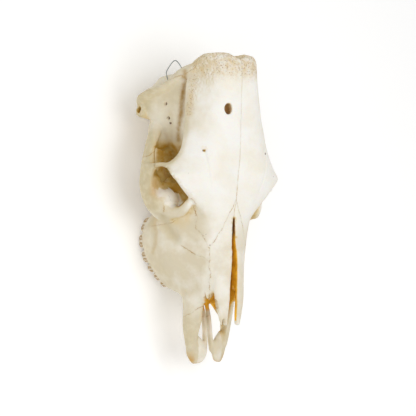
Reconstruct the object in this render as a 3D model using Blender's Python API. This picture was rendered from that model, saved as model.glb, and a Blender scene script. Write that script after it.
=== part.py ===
"""A hornless cow's skull without its lower jaw, life size, lying as it rests on a table.

The skull is modelled whole from lofts, bars and eggs, fused by a voxel remesh, hollowed, and then parted
along its sutures by thin cuts. Tables are in millimetres: x to the animal's left, s back from the tip of
the muzzle, z up from the table. The nose points to -Y. Each side is made by the same code, with side -1
for the animal's right and +1 for its left.
"""

import math

import bmesh
import bpy
import numpy as np
from mathutils import Matrix, Vector

MM = 0.001
LENGTH = 490.0
MIDDLE = LENGTH / 2
DATUM = 6.0  # height of the tables' z = 0 above the table top that the skull rests on
FLOOR = -DATUM
SIDES = {"right": -1, "left": 1}

VOXEL = 2.4
GAP = 0.3
BONE_TRIANGLES = 8400
RING_STEPS = 4
ROW_STEPS = 4

# Half sections of the forehead, from the crown at the midline over the temporal line to the underside.
# Each row: s, crown z, (x, z) half way out, (x, z) temporal line, (x, z) under the edge, underside z
FOREHEAD = (
    (225, 152, (22, 150), (42, 136), (38, 126), 118),
    (250, 158, (32, 156), (62, 142), (56, 130), 118),
    (268, 163, (42, 160), (80, 144), (70, 130), 120),
    (284, 166, (50, 165), (98, 142), (80, 126), 122),
    (298, 169, (54, 168), (111, 139), (92, 118), 124),
    (312, 173, (56, 170), (114, 127), (91, 114), 126),
    (328, 176, (52, 172), (97, 137), (76, 124), 126),
    (348, 179, (46, 174), (86, 142), (68, 130), 128),
    (390, 184, (43, 177), (77, 142), (63, 130), 130),
    (430, 189, (39, 181), (72, 142), (61, 128), 130),
    (458, 193, (38, 183), (66, 145), (58, 126), 130),
    (482, 192, (36, 184), (60, 154), (48, 130), 132),
    (494, 182, (36, 177), (50, 160), (32, 138), 136),
)

# Half sections of the face: s, nasal ridge z, (x, z) nasal edge, (x, z) cheek, (x, z) widest,
# (x, z) tooth socket edge, palate z
FACE = (
    (97, 112, (26, 111), (36, 100), (43, 76), (38, 53), (20, 55), 56),
    (112, 124, (28, 121), (38, 104), (44, 76), (38, 50), (20, 55), 56),
    (128, 138, (29, 129), (42, 102), (50, 70), (46, 20), (29, 36), 52),
    (150, 146, (32, 132), (50, 101), (66, 62), (61, 12), (38, 28), 44),
    (176, 149, (33, 135), (56, 103), (79, 60), (73, 6), (45, 24), 40),
    (205, 151, (35, 138), (60, 108), (83, 62), (79, 4), (50, 22), 38),
    (232, 154, (40, 143), (63, 114), (80, 76), (74, 7), (46, 23), 39),
    (256, 158, (46, 148), (67, 126), (66, 88), (58, 20), (36, 32), 41),
    (277, 162, (46, 149), (54, 126), (42, 90), (34, 48), (18, 54), 56),
)

# Half sections of the brain case: s, roof z, (x, z) shoulder, (x, z) wall, (x, z) lower wall, floor z
BRAIN_CASE = (
    (262, 150, (26, 140), (30, 110), (24, 72), 62),
    (300, 160, (34, 148), (38, 112), (28, 66), 56),
    (335, 165, (50, 150), (54, 116), (44, 66), 54),
    (362, 167, (60, 148), (64, 112), (62, 66), 50),
    (395, 168, (60, 146), (76, 106), (88, 62), 50),
    (425, 170, (58, 146), (82, 104), (102, 60), 46),
    (440, 173, (55, 148), (80, 106), (104, 56), 44),
    (454, 174, (52, 150), (75, 110), (84, 60), 47),
    (470, 174, (48, 154), (66, 118), (70, 64), 52),
)

# The cheek teeth of one side, front to back: length along the row, width across it, z of the wearing face
# at its front and back
TEETH = (
    (14, 12, 9, 6),
    (16, 16, 5, 2),
    (17, 19, 1, -2),
    (23, 22, -3, -5),
    (26, 23, -6, -6),
    (27, 21, -6, 0),
)
TOOTH_ROW = ((38, 129), (49, 147), (59, 167), (65.5, 190), (66.5, 214), (61, 234), (52, 252))
ROOT_Z = 32


HALF_GAP = GAP / 2

# Outlines of the nodes. NASAL, LACRIMAL and CHEEKBONE are (x, s) seen from above, on the left side.
NASAL = (
    (HALF_GAP, 30), (26, 30), (27, 96), (31, 112), (34, 130), (37, 161), (37, 184), (32, 194), (19, 219),
    (5, 250), (HALF_GAP, 258),
)
LACRIMAL = (
    (37.3, 163), (50, 175), (67, 192), (80, 202), (84, 222), (100, 240), (96, 262), (75, 262), (64, 249),
    (55, 231), (53, 216), (47, 205), (41, 190), (37.3, 184),
)
CHEEKBONE = (
    (72, 232), (90, 224), (140, 226), (140, 318), (124, 330), (104, 342), (96, 318), (94, 286), (87, 262),
    (76, 250),
)
# These are (s, z) seen from the side.
INCISIVE = ((-20, 20), (66, 30), (80, 82), (97, 104), (113, 112.7), (-20, 112.7))
FRONTAL = (
    (184, 119), (296, 119), (296, 107.3), (330, 107.3), (336, 130), (462, 130), (469, 152), (520, 160),
    (520, 230), (184, 230),
)
MAXILLA = ((-20, -20), (262, -20), (262, 230), (-20, 230))
PALATINE = ((262, 20), (324, 20), (324, 66), (262, 66))
OCCIPITAL = ((414, -20), (417, 44), (440, 66), (456, 104), (461, 126), (466, 170), (560, 170), (560, -20))

WIRE_RADIUS = 0.9
WIRE_PATH = (
    (-80, 455, 102), (-84, 463, 104), (-87, 472, 108), (-80, 487, 121), (-73, 477, 127), (-68, 468, 124),
    (-64, 460, 122),
)


def place(x, s, z):
    """A table's point in metres, in the part's own frame."""
    return Vector((x * MM, (s - MIDDLE) * MM, (z - FLOOR) * MM))


def clear_scene():
    for thing in list(bpy.data.objects):
        bpy.data.objects.remove(thing)


def link(name, mesh):
    made = bpy.data.objects.new(name, mesh)
    bpy.context.scene.collection.objects.link(made)
    return made


def spline(rows, steps, closed=False):
    """Rows of numbers, made `steps` times as many on a Catmull-Rom curve through them."""
    rows = np.asarray(rows, float)
    count = len(rows)
    made = []
    for i in range(count if closed else count - 1):
        if closed:
            a, b, c, d = (rows[(i + k) % count] for k in (-1, 0, 1, 2))
        else:
            b, c = rows[i], rows[i + 1]
            a = rows[i - 1] if i else 2 * b - c
            d = rows[i + 2] if i + 2 < count else 2 * c - b
        for t in np.arange(steps) / steps:
            made.append(0.5 * (2 * b + (c - a) * t + (2 * a - 5 * b + 4 * c - d) * t**2
                               + (3 * b - a - 3 * c + d) * t**3))
    if not closed:
        made.append(rows[-1])
    return np.array(made)


def skin(name, rings):
    """A closed mesh over rings of points in table units, with a flat cap at each end."""
    rings = np.asarray(rings, float)
    count, around = rings.shape[:2]
    points = [place(*p) for p in rings.reshape(-1, 3)]
    faces = []
    for i in range(count - 1):
        for j in range(around):
            k = (j + 1) % around
            faces.append((i * around + j, i * around + k, (i + 1) * around + k, (i + 1) * around + j))
    faces.append(tuple(range(around))[::-1])
    faces.append(tuple(range((count - 1) * around, count * around)))
    mesh = bpy.data.meshes.new(name)
    mesh.from_pydata(points, [], faces)
    form = bmesh.new()
    form.from_mesh(mesh)
    bmesh.ops.recalc_face_normals(form, faces=form.faces)
    form.to_mesh(mesh)
    form.free()
    return link(name, mesh)


def half_sections(name, table):
    """A loft along s through a table of half sections, mirrored to whole rings."""
    flat = []
    for row in table:
        s, top, *sides, base = row
        flat.append([s, 0, top, *(v for pair in sides for v in pair), 0, base])
    rings = []
    for row in spline(flat, ROW_STEPS):
        s, half = row[0], row[1:].reshape(-1, 2)
        ring = [(x, s, z) for x, z in half] + [(-x, s, z) for x, z in half[-2:0:-1]]
        rings.append(spline(ring, RING_STEPS, closed=True))
    return skin(name, rings)


def bar(name, stations, up=(0, 0, 1), power=2.0, around=16):
    """A bar along a smooth path. Each station: x, s, z, half width across `up`, half height along it."""
    rows = spline(stations, ROW_STEPS)
    path = rows[:, :3]
    tangents = np.gradient(path, axis=0)
    rings = []
    for (*centre, wide, high), tangent in zip(rows.tolist(), tangents):
        tangent = Vector(tangent).normalized()
        across = tangent.cross(Vector(up)).normalized()
        rise = across.cross(tangent).normalized()
        ring = []
        for k in range(around):
            turn = 2 * math.pi * k / around
            c, d = math.cos(turn), math.sin(turn)
            u = math.copysign(abs(c) ** (2 / power), c) * wide
            v = math.copysign(abs(d) ** (2 / power), d) * high
            ring.append(Vector(centre) + u * across + v * rise)
        rings.append(ring)
    return skin(name, rings)


def egg(name, centre, radii, turn=(0, 0, 0)):
    """An ellipsoid: centre and radii in table units, turn in degrees about x, s and z."""
    mesh = bpy.data.meshes.new(name)
    form = bmesh.new()
    bmesh.ops.create_uvsphere(form, u_segments=24, v_segments=16, radius=1)
    spin = Matrix.Rotation(math.radians(turn[2]), 4, "Z") @ Matrix.Rotation(math.radians(turn[1]), 4, "Y")
    spin = spin @ Matrix.Rotation(math.radians(turn[0]), 4, "X")
    size = Matrix.Diagonal((*(r * MM for r in radii), 1))
    form.transform(Matrix.Translation(place(*centre)) @ spin @ size)
    form.to_mesh(mesh)
    form.free()
    return link(name, mesh)


def on_side(side, stations):
    return [(side * x, *rest) for x, *rest in stations]


def fused(name, pieces, voxel):
    """The pieces as one closed surface, by a voxel remesh that drops whatever lies inside another."""
    form = bmesh.new()
    for piece in pieces:
        form.from_mesh(piece.data)
        bpy.data.objects.remove(piece)
    mesh = bpy.data.meshes.new(name)
    form.to_mesh(mesh)
    form.free()
    made = link(name, mesh)
    remesh = made.modifiers.new("Remesh", "REMESH")
    remesh.mode = "VOXEL"
    remesh.voxel_size = voxel * MM
    apply_modifiers(made)
    return made


def apply_modifiers(thing):
    """The object's mesh becomes what its modifiers make of it."""
    graph = bpy.context.evaluated_depsgraph_get()
    graph.update()
    mesh = bpy.data.meshes.new_from_object(thing.evaluated_get(graph))
    thing.modifiers.clear()
    thing.data = mesh
    return thing


def combine(thing, other, operation, solver="MANIFOLD"):
    """A Boolean with another object, applied. The other object stays."""
    cut = thing.modifiers.new("Boolean", "BOOLEAN")
    cut.operation = operation
    cut.solver = solver
    cut.object = other
    return apply_modifiers(thing)


def smooth(thing, rounds, factor=0.5):
    soften = thing.modifiers.new("Smooth", "SMOOTH")
    soften.factor = factor
    soften.iterations = rounds
    return apply_modifiers(thing)


def arch_pieces(side):
    """The zygomatic arch, the bar behind the eye, the rim of the orbit and the tear bulla inside it."""
    return [
        bar("arch", on_side(side, [
            (72, 236, 82, 12, 24), (90, 254, 76, 15, 21), (102, 274, 73, 15, 19), (106.5, 296, 73, 14, 19),
            (108.5, 320, 74, 9, 16), (104.5, 346, 74, 7, 12), (93, 372, 72, 9, 11), (80, 396, 68, 12, 10),
        ]), power=2.4),
        bar("postorbital_bar", on_side(side, [
            (98, 304, 134, 13, 6), (112, 311, 116, 11, 6), (117, 312, 102, 10, 6), (115, 312, 78, 14, 7),
        ]), up=(side, 0, 0)),
        bar("orbit_rim", on_side(side, [
            (70, 262, 136, 5, 5), (74, 251, 124, 8, 8), (77, 243, 110, 10, 11), (86, 247, 93, 11, 12),
            (98, 262, 84, 14, 11), (106, 282, 84, 10, 12), (108, 302, 90, 9, 12),
        ]), up=(side, 0, 0)),
        egg("orbit_wall", (side * 62, 274, 84), (24, 32, 22), (0, 0, -side * 12)),
        egg("orbit_floor", (side * 88, 268, 84), (26, 27, 15)),
        egg("pterygoid_crest", (side * 57, 324, 49), (21, 44, 24)),
    ]


def ear_pieces(side):
    """The temporal crest, ear tube, bulla, jaw joint, neck process and condyle of one side."""
    return [
        bar("temporal_crest", on_side(side, [
            (34, 480, 164, 11, 10), (56, 472, 148, 10, 10), (67, 468, 130, 9, 9), (74, 460, 114, 8, 9),
            (82, 449, 102, 8, 8), (96, 441, 86, 8, 9), (106, 434, 66, 9, 9), (98, 430, 48, 9, 9),
        ])),
        bar("ear_tube", on_side(side, [(50, 410, 56, 12, 12), (84, 412, 56, 12, 13), (108, 416, 55, 11, 12)])),
        egg("jaw_joint", (side * 74, 378, 66), (25, 29, 11)),
        egg("bulla", (side * 50, 398, 36), (12, 20, 22), (-14, 0, 0)),
        bar("neck_process", on_side(side, [
            (80, 442, 62, 20, 14), (72, 438, 40, 14, 11), (65, 432, 18, 9, 8), (61, 428, 0, 7, 6),
            (60, 427, -16, 6, 5),
        ]), up=(0, 1, 0)),
        egg("condyle", (side * 27, 462, 50), (17, 20, 25), (18, 0, side * 14)),
        bar("pterygoid", on_side(side, [
            (24, 250, 56, 4, 16), (20, 278, 52, 3.5, 18), (20, 302, 54, 3.5, 14), (24, 326, 58, 5, 8),
        ]), power=3),
        egg("hamulus", (side * 21, 284, 34), (3.5, 6, 10), (20, 0, 0)),
    ]


def muzzle_pieces(side):
    """The incisive bone's flat body and palatine process, and the nasal bone's free blade, of one side."""
    return [
        bar("incisive_plate", on_side(side, [
            (18.5, 0, 63, 8, 4.5), (20.5, 6, 64, 14, 6), (22.5, 18, 65, 18, 7.5), (26, 32, 65, 15.5, 8),
            (35, 48, 66, 8, 8),
        ]), up=(side * 0.45, 0, 1)),
        bar("incisive_wing", on_side(side, [
            (33, 26, 65, 6, 8), (36, 48, 71, 6, 14), (38, 70, 77.5, 5.5, 17), (38.5, 90, 83.5, 6, 17),
            (37, 114, 89, 6.5, 18),
        ]), up=(-side * 0.75, 0, 1)),
        bar("palate_shelf", on_side(side, [
            (34, 30, 61, 8, 5), (38, 50, 62, 6, 5), (38, 72, 61, 6, 5), (32, 90, 60, 11, 5),
            (24, 112, 57, 16, 5),
        ])),
        bar("palatine_process", on_side(side, [
            (8.5, 17, 66, 5, 5), (5.5, 40, 67, 3.8, 6), (5, 90, 65, 3.8, 6.5), (6, 132, 58, 5, 5),
        ])),
        bar("nasal_blade", on_side(side, [
            (16, 180, 141, 16, 6.5), (17, 150, 138, 16, 6.5), (18, 124, 135, 14.5, 6),
            (17.5, 98, 133, 12.5, 5.5), (15.5, 78, 131, 9.5, 5), (13.5, 58, 129, 6, 4),
        ]), up=(side * 0.6, 0, 1), power=2.2),
    ]


def body_pieces():
    pieces = [
        half_sections("forehead", FOREHEAD),
        half_sections("face", FACE),
        half_sections("brain_case", BRAIN_CASE),
        bar("nape", [
            (0, 478, 166, 36, 9), (0, 474, 146, 56, 12), (0, 466, 118, 68, 13), (0, 456, 88, 80, 12),
            (0, 450, 58, 76, 10),
        ], up=(0, 1, 0), power=2.4),
        bar("skull_base", [(0, 458, 46, 22, 8), (0, 430, 48, 17, 8), (0, 390, 50, 15, 9), (0, 340, 58, 13, 10),
                           (0, 300, 66, 10, 12)]),
    ]
    for side in SIDES.values():
        pieces += arch_pieces(side) + ear_pieces(side) + muzzle_pieces(side)
    return pieces


def hollow_pieces():
    """What is taken out: orbits, nasal cavity, choanae, temporal fossae, ear holes and the larger foramina."""
    pieces = [
        bar("nasal_cavity", [
            (0, 60, 98, 18, 26), (0, 80, 97, 22, 28), (0, 96, 96, 28, 31), (0, 112, 96, 29, 31),
            (0, 140, 97, 34, 32), (0, 170, 98, 40, 35), (0, 210, 100, 42, 38), (0, 240, 106, 32, 32),
            (0, 262, 110, 14, 16),
        ], power=2.6, around=24),
        bar("choana", [
            (0, 236, 62, 14, 10), (0, 262, 56, 16, 15), (0, 290, 48, 16, 18), (0, 318, 38, 17, 14),
        ], power=2.6),
        bar("great_hole", [(0, 410, 76, 13, 12), (0, 440, 68, 18, 16), (0, 490, 60, 20, 18)], around=24),
        bar("internasal_gap", [
            (0, 252, 150, 0.8, 20), (0, 215, 146, 1.6, 24), (0, 175, 144, 4, 24), (0, 140, 140, 5.5, 24),
            (0, 100, 136, 6.5, 24), (0, 50, 130, 9, 24),
        ], power=6),
        bar("forehead_hole", [(-24, 402, 206, 7, 9.5), (-24, 402, 168, 6, 8.5)], up=(0, 1, 0)),
        egg("poll_dip", (0, 502, 182), (16, 19, 24)),
    ]
    for side in SIDES.values():
        pieces += [
            egg("orbit", (side * 106, 283, 115), (50, 31, 25), (-16, -side * 8, side * 18)),
            egg("orbit_back", (side * 74, 320, 106), (34, 33, 24), (0, 0, side * 10)),
            bar("temporal_fossa", on_side(side, [
                (88, 318, 118, 14, 18), (84, 346, 108, 16, 22), (84, 372, 114, 14, 16), (76, 396, 124, 9, 9),
                (70, 430, 128, 6, 6), (64, 456, 132, 4, 4),
            ])),
            bar("ear_hole", on_side(side, [(90, 414, 54, 4, 4), (120, 418, 52, 7, 8)])),
            egg("infraorbital_hole", (side * 58, 166, 56), (8, 12, 5)),
        ]
    return pieces


def tooth_row_point(along):
    """The row's centre (x, s) and its direction, this far back from its front."""
    points = spline(TOOTH_ROW, 8)
    steps = np.linalg.norm(np.diff(points, axis=0), axis=1)
    reach = np.concatenate([[0], np.cumsum(steps)])
    centre = np.array([np.interp(along, reach, points[:, k]) for k in (0, 1)])
    ahead = np.array([np.interp(along + 1, reach, points[:, k]) for k in (0, 1)])
    return centre, (ahead - centre) / np.linalg.norm(ahead - centre)


def tooth(name, side, start, length, width, front_z, back_z):
    """A cheek tooth: a root in the bone and a crown with two outer ribs, worn to a slanting face."""
    centre, way = tooth_row_point(start + length / 2)
    out = np.array([way[1], -way[0]])
    rings = []
    for level, swell in ((0, 0.86), (0.9, 1.0), (1, 0.9)):
        ring = []
        for k in range(12):
            turn = 2 * math.pi * k / 12
            u = math.copysign(abs(math.cos(turn)) ** 0.55, math.cos(turn)) * (length / 2 - 0.4) * swell
            v = math.copysign(abs(math.sin(turn)) ** 0.55, math.sin(turn)) * width / 2 * swell
            rib = 0.9 * math.cos(4 * math.pi * u / length) * (1 if v > 0 else -1)
            x, s = centre + way * u + out * (v + rib)
            tip = front_z + (back_z - front_z) * (u / length + 0.5)
            ring.append((side * x, s, ROOT_Z + (tip - ROOT_Z) * level))
        rings.append(ring)
    return skin(name, rings)


def teeth(side):
    """The six cheek teeth of one side."""
    made = []
    start = 0
    for number, (length, width, front_z, back_z) in enumerate(TEETH):
        made.append(tooth(f"tooth_{number + 1}", side, start, length, width, front_z, back_z))
        start += length
    return made


def triangles(thing):
    thing.data.calc_loop_triangles()
    return len(thing.data.loop_triangles)


def thinned(thing, count):
    """Fewer triangles, down to about this count."""
    thin = thing.modifiers.new("Decimate", "DECIMATE")
    thin.ratio = min(1.0, count / triangles(thing))
    return apply_modifiers(thing)


def tear_bullae():
    """The thin bony bubble on the floor of each orbit, set in once the orbits are hollowed."""
    return [egg("tear_bulla", (side * 83, 264, 80), (26, 24, 23)) for side in SIDES.values()]


def block(name, centre, size):
    """A box: centre and size in table units."""
    mesh = bpy.data.meshes.new(name)
    form = bmesh.new()
    bmesh.ops.create_cube(form, size=1)
    form.transform(Matrix.Translation(place(*centre)) @ Matrix.Diagonal((*(v * MM for v in size), 1)))
    form.to_mesh(mesh)
    form.free()
    return link(name, mesh)


def grown(outline, by):
    """A polygon with every edge moved outward."""
    points = [Vector(p) for p in outline]
    area = sum(a.x * b.y - b.x * a.y for a, b in zip(points, points[1:] + points[:1]))
    turn = 1 if area > 0 else -1
    made = []
    for before, here, after in zip(points[-1:] + points[:-1], points, points[1:] + points[:1]):
        first = (here - before).normalized()
        second = (after - here).normalized()
        out_first = Vector((first.y, -first.x)) * turn
        out_second = Vector((second.y, -second.x)) * turn
        middle = (out_first + out_second).normalized()
        made.append(here + middle * by / max(0.3, middle.dot(out_first)))
    return [tuple(p) for p in made]


def prism(name, outline, seen_from, low, high, side):
    """A cutter over an outline of (x, s) seen from above or (s, z) seen from the side."""
    rings = []
    for level in (low, high):
        if seen_from == "above":
            rings.append([(side * x, s, level) for x, s in outline])
        else:
            rings.append([(side * level, s, z) for s, z in outline])
    return skin(name, rings)


def duplicate(thing, name):
    return link(name, thing.data.copy())


def keep_largest(thing):
    """The object keeps only its largest closed surface."""
    form = bmesh.new()
    form.from_mesh(thing.data)
    bmesh.ops.dissolve_degenerate(form, edges=form.edges, dist=0.001 * MM)
    bmesh.ops.triangulate(form, faces=form.faces)
    seen = set()
    surfaces = []
    for start in form.faces:
        if start in seen:
            continue
        surface = []
        waiting = [start]
        seen.add(start)
        while waiting:
            face = waiting.pop()
            surface.append(face)
            for edge in face.edges:
                for other in edge.link_faces:
                    if other not in seen:
                        seen.add(other)
                        waiting.append(other)
        surfaces.append(surface)
    surfaces.sort(key=volume, reverse=True)
    spare = [face for surface in surfaces[1:] for face in surface]
    bmesh.ops.delete(form, geom=spare, context="FACES")
    form.to_mesh(thing.data)
    form.free()
    return thing


def volume(faces):
    """The signed volume that these triangles enclose."""
    total = 0
    for face in faces:
        a, b, c = (v.co for v in face.verts)
        total += a.cross(b).dot(c)
    return total / 6


def part_off(rest, name, outline, seen_from, low, high, side):
    """Parts a node off the rest of the skull: the cutter's inside, with a thin gap left round it."""
    cutter = prism("cutter", outline, seen_from, low, high, side)
    wider = prism("wider", grown(outline, GAP), seen_from, low - GAP, high + GAP, side)
    node = combine(duplicate(rest, name), cutter, "INTERSECT")
    combine(rest, wider, "DIFFERENCE")
    bpy.data.objects.remove(cutter)
    bpy.data.objects.remove(wider)
    keep_largest(rest)
    return keep_largest(node)


def parted(skull):
    """The skull's bones as separate nodes, parted along the sutures."""
    nodes = []
    for label, side in SIDES.items():
        nodes.append(part_off(skull, f"nasal_{label}", NASAL, "above", 113, 220, side))
        nodes.append(part_off(skull, f"incisive_{label}", INCISIVE, "side", HALF_GAP, 90, side))
        nodes.append(part_off(skull, f"lacrimal_{label}", LACRIMAL, "above", 94, 220, side))
        nodes.append(part_off(skull, f"cheekbone_{label}", CHEEKBONE, "above", 38, 107, side))
        nodes.append(part_off(skull, f"frontal_{label}", FRONTAL, "side", HALF_GAP, 150, side))
        nodes.append(part_off(skull, f"maxilla_{label}", MAXILLA, "side", HALF_GAP, 100, side))
    nodes.append(part_off(skull, "palatine", PALATINE, "side", -60, 60, 1))
    nodes.append(part_off(skull, "occipital", OCCIPITAL, "side", -130, 130, 1))
    skull.name = "brain_case"
    nodes.append(skull)
    return nodes


def wire_loop(name, radius):
    """The hanging wire: one bend of it stands up behind the crest, and both ends are set in the bone."""
    return bar(name, [(*point, radius, radius) for point in WIRE_PATH], around=8)


def finish(nodes):
    """Puts the origin under the middle of the box, on the floor, and gives each node its material."""
    corners = np.array([vertex.co for node in nodes for vertex in node.data.vertices])
    low, high = corners.min(axis=0), corners.max(axis=0)
    shift = Matrix.Translation((-(low[0] + high[0]) / 2, -(low[1] + high[1]) / 2, -low[2]))
    for node in nodes:
        node.data.transform(shift)
        node.data.materials.clear()
        if node.name == "hanging_wire":
            node.data.materials.append(material("galvanised_wire", (0.42, 0.43, 0.44), 0.35, 1.0))
        else:
            node.data.materials.append(material(f"{node.name}_bone", (0.82, 0.76, 0.62), 0.6, 0.0))
        node.data.polygons.foreach_set("use_smooth", [True] * len(node.data.polygons))
        node.data.set_sharp_from_angle(angle=math.radians(38))


def material(name, colour, roughness, metallic):
    made = bpy.data.materials.new(name)
    made.use_nodes = True
    surface = made.node_tree.nodes["Principled BSDF"]
    surface.inputs["Base Color"].default_value = (*colour, 1)
    surface.inputs["Roughness"].default_value = roughness
    surface.inputs["Metallic"].default_value = metallic
    return made


def make_skull():
    clear_scene()
    skull = fused("skull", body_pieces(), VOXEL)
    hollows = fused("hollows", hollow_pieces(), VOXEL)
    combine(skull, hollows, "DIFFERENCE")
    bpy.data.objects.remove(hollows)
    skull = fused("skull", [smooth(skull, 4), *tear_bullae()], VOXEL)
    keep_largest(smooth(skull, 6))
    thinned(skull, BONE_TRIANGLES)
    for side in SIDES.values():
        for crown in teeth(side):
            combine(skull, crown, "UNION")
            bpy.data.objects.remove(crown)
    below = block("below", (0, MIDDLE, FLOOR - 20), (400, 800, 40))
    combine(skull, below, "DIFFERENCE")
    bpy.data.objects.remove(below)
    keep_largest(skull)
    sleeve = wire_loop("sleeve", WIRE_RADIUS + GAP)
    combine(skull, sleeve, "DIFFERENCE")
    bpy.data.objects.remove(sleeve)
    nodes = parted(skull)
    nodes.append(keep_largest(wire_loop("hanging_wire", WIRE_RADIUS)))
    finish(nodes)
    return nodes


if __name__ == "__main__":
    make_skull()
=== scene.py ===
"""A hornless cow's skull as a museum shows it: bleached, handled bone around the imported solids.

The bones are built whole at a fine pitch from the same tables as the solids, weathered by moving their
points, and parted along the same sutures, which wander here as real ones do. Tables are in millimetres:
x to the animal's left, s back from the tip of the muzzle, z up from the datum.
"""

import math

import bmesh
import bpy
import numpy as np
from mathutils import Matrix, Vector, noise
from mathutils.bvhtree import BVHTree
from mathutils.kdtree import KDTree


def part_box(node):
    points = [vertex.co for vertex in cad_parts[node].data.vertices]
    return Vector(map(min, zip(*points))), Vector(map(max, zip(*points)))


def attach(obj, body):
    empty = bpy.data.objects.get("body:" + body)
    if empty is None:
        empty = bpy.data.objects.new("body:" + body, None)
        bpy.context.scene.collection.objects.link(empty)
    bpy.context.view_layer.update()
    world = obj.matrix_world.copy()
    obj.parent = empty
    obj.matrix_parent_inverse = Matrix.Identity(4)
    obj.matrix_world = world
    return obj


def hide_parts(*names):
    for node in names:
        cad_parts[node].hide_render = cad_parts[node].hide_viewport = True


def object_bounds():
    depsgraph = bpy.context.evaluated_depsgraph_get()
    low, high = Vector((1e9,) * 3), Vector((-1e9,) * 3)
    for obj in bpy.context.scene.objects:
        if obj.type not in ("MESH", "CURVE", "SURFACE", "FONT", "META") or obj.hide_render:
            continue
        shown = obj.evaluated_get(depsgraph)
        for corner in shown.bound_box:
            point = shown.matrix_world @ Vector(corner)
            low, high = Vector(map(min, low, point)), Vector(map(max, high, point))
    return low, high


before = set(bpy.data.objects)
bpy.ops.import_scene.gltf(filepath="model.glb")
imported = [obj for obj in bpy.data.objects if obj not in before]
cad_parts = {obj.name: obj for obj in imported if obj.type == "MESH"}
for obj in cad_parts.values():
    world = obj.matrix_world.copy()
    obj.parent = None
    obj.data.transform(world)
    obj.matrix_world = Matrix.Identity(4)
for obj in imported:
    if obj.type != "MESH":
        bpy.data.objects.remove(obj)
cad_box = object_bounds()

MM = 0.001
MIDDLE = 245.0
FLOOR = -6.0
SIDES = {"right": -1, "left": 1}
PITCH = 1.35

# The solids' sutures are open by the first of these. Here they show the second, as grown bones nearly meet.
GAP = 0.3
HALF_GAP = GAP / 2
SEAM = 0.14

RING_STEPS = 6
ROW_STEPS = 8

# Half sections: s, the top's height at the middle, pairs of (x, z) down the side, the underside's height.
FOREHEAD = (
    (225, 152, (22, 150), (42, 136), (38, 126), 118),
    (250, 158, (32, 156), (62, 142), (56, 130), 118),
    (268, 163, (42, 160), (80, 144), (70, 130), 120),
    (284, 166, (50, 165), (98, 142), (80, 126), 122),
    (298, 169, (54, 168), (111, 139), (92, 118), 124),
    (312, 173, (56, 170), (114, 127), (91, 114), 126),
    (328, 176, (52, 172), (97, 137), (76, 124), 126),
    (348, 179, (46, 174), (86, 142), (68, 130), 128),
    (390, 184, (43, 177), (77, 142), (63, 130), 130),
    (430, 189, (39, 181), (72, 142), (61, 128), 130),
    (458, 193, (38, 183), (66, 145), (58, 126), 130),
    (482, 192, (36, 184), (60, 154), (48, 130), 132),
    (494, 182, (36, 177), (50, 160), (32, 138), 136),
)
FACE = (
    (97, 112, (26, 111), (36, 100), (43, 76), (38, 53), (20, 55), 56),
    (112, 124, (28, 121), (38, 104), (44, 76), (38, 50), (20, 55), 56),
    (128, 138, (29, 129), (42, 102), (50, 70), (46, 20), (29, 36), 52),
    (150, 146, (32, 132), (50, 101), (66, 62), (61, 12), (38, 28), 44),
    (176, 149, (33, 135), (56, 103), (79, 60), (73, 6), (45, 24), 40),
    (205, 151, (35, 138), (60, 108), (83, 62), (79, 4), (50, 22), 38),
    (232, 154, (40, 143), (63, 114), (80, 76), (74, 7), (46, 23), 39),
    (256, 158, (46, 148), (67, 126), (66, 88), (58, 20), (36, 32), 41),
    (277, 162, (46, 149), (54, 126), (42, 90), (34, 48), (18, 54), 56),
)
BRAIN_CASE = (
    (262, 150, (26, 140), (30, 110), (24, 72), 62),
    (300, 160, (34, 148), (38, 112), (28, 66), 56),
    (335, 165, (50, 150), (54, 116), (44, 66), 54),
    (362, 167, (60, 148), (64, 112), (62, 66), 50),
    (395, 168, (60, 146), (76, 106), (88, 62), 50),
    (425, 170, (58, 146), (82, 104), (102, 60), 46),
    (440, 173, (55, 148), (80, 106), (104, 56), 44),
    (454, 174, (52, 150), (75, 110), (84, 60), 47),
    (470, 174, (48, 154), (66, 118), (70, 64), 52),
)

# Cheek teeth from the front: length, width, the worn face's height in front and behind, lobes.
TEETH = (
    (14, 12, 9, 6, 1),
    (16, 16, 5, 2, 1),
    (17, 19, 1, -2, 1),
    (23, 22, -3, -5, 2),
    (26, 23, -6, -6, 2),
    (27, 21, -6, 0, 2),
)
TOOTH_NAMES = ("premolar_2", "premolar_3", "premolar_4", "molar_1", "molar_2", "molar_3")
TOOTH_ROW = ((38, 129), (49, 147), (59, 167), (65.5, 190), (66.5, 214), (61, 234), (52, 252))
ROOT_Z = 32
TOOTH_AROUND = 72
TOOTH_RINGS = 18

# Where the outer ribs and the lobes stand along a tooth of one lobe or two, from -1 in front to 1 behind.
RIBS = {1: (-0.82, -0.05, 0.8), 2: (-0.9, 0.0, 0.86)}
LOBES = {1: (0.0,), 2: (-0.46, 0.46)}

# The crown from root to worn face: how far along, and how full it is there.
CROWN = ((0, 0.84), (0.3, 0.9), (0.5, 0.95), (0.7, 0.99), (0.85, 1.0), (0.95, 0.99), (1.0, 0.95))

# Outlines of the cuts that part the bones: (x, s) seen from above, or (s, z) seen from the side.
NASAL = (
    (HALF_GAP, 30), (26, 30), (27, 96), (31, 112), (34, 130), (37, 161), (37, 184), (32, 194), (19, 219),
    (5, 250), (HALF_GAP, 258),
)
LACRIMAL = (
    (37.3, 163), (50, 175), (67, 192), (80, 202), (84, 222), (100, 240), (96, 262), (75, 262), (64, 249),
    (55, 231), (53, 216), (47, 205), (41, 190), (37.3, 184),
)
CHEEKBONE = (
    (72, 232), (90, 224), (140, 226), (140, 318), (124, 330), (104, 342), (96, 318), (94, 286), (87, 262),
    (76, 250),
)
INCISIVE = ((-20, 20), (66, 30), (80, 82), (97, 104), (113, 112.7), (-20, 112.7))
FRONTAL = (
    (184, 119), (296, 119), (296, 107.3), (330, 107.3), (336, 130), (462, 130), (469, 152), (520, 160),
    (520, 230), (184, 230),
)
MAXILLA = ((-20, -20), (262, -20), (262, 230), (-20, 230))
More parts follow.
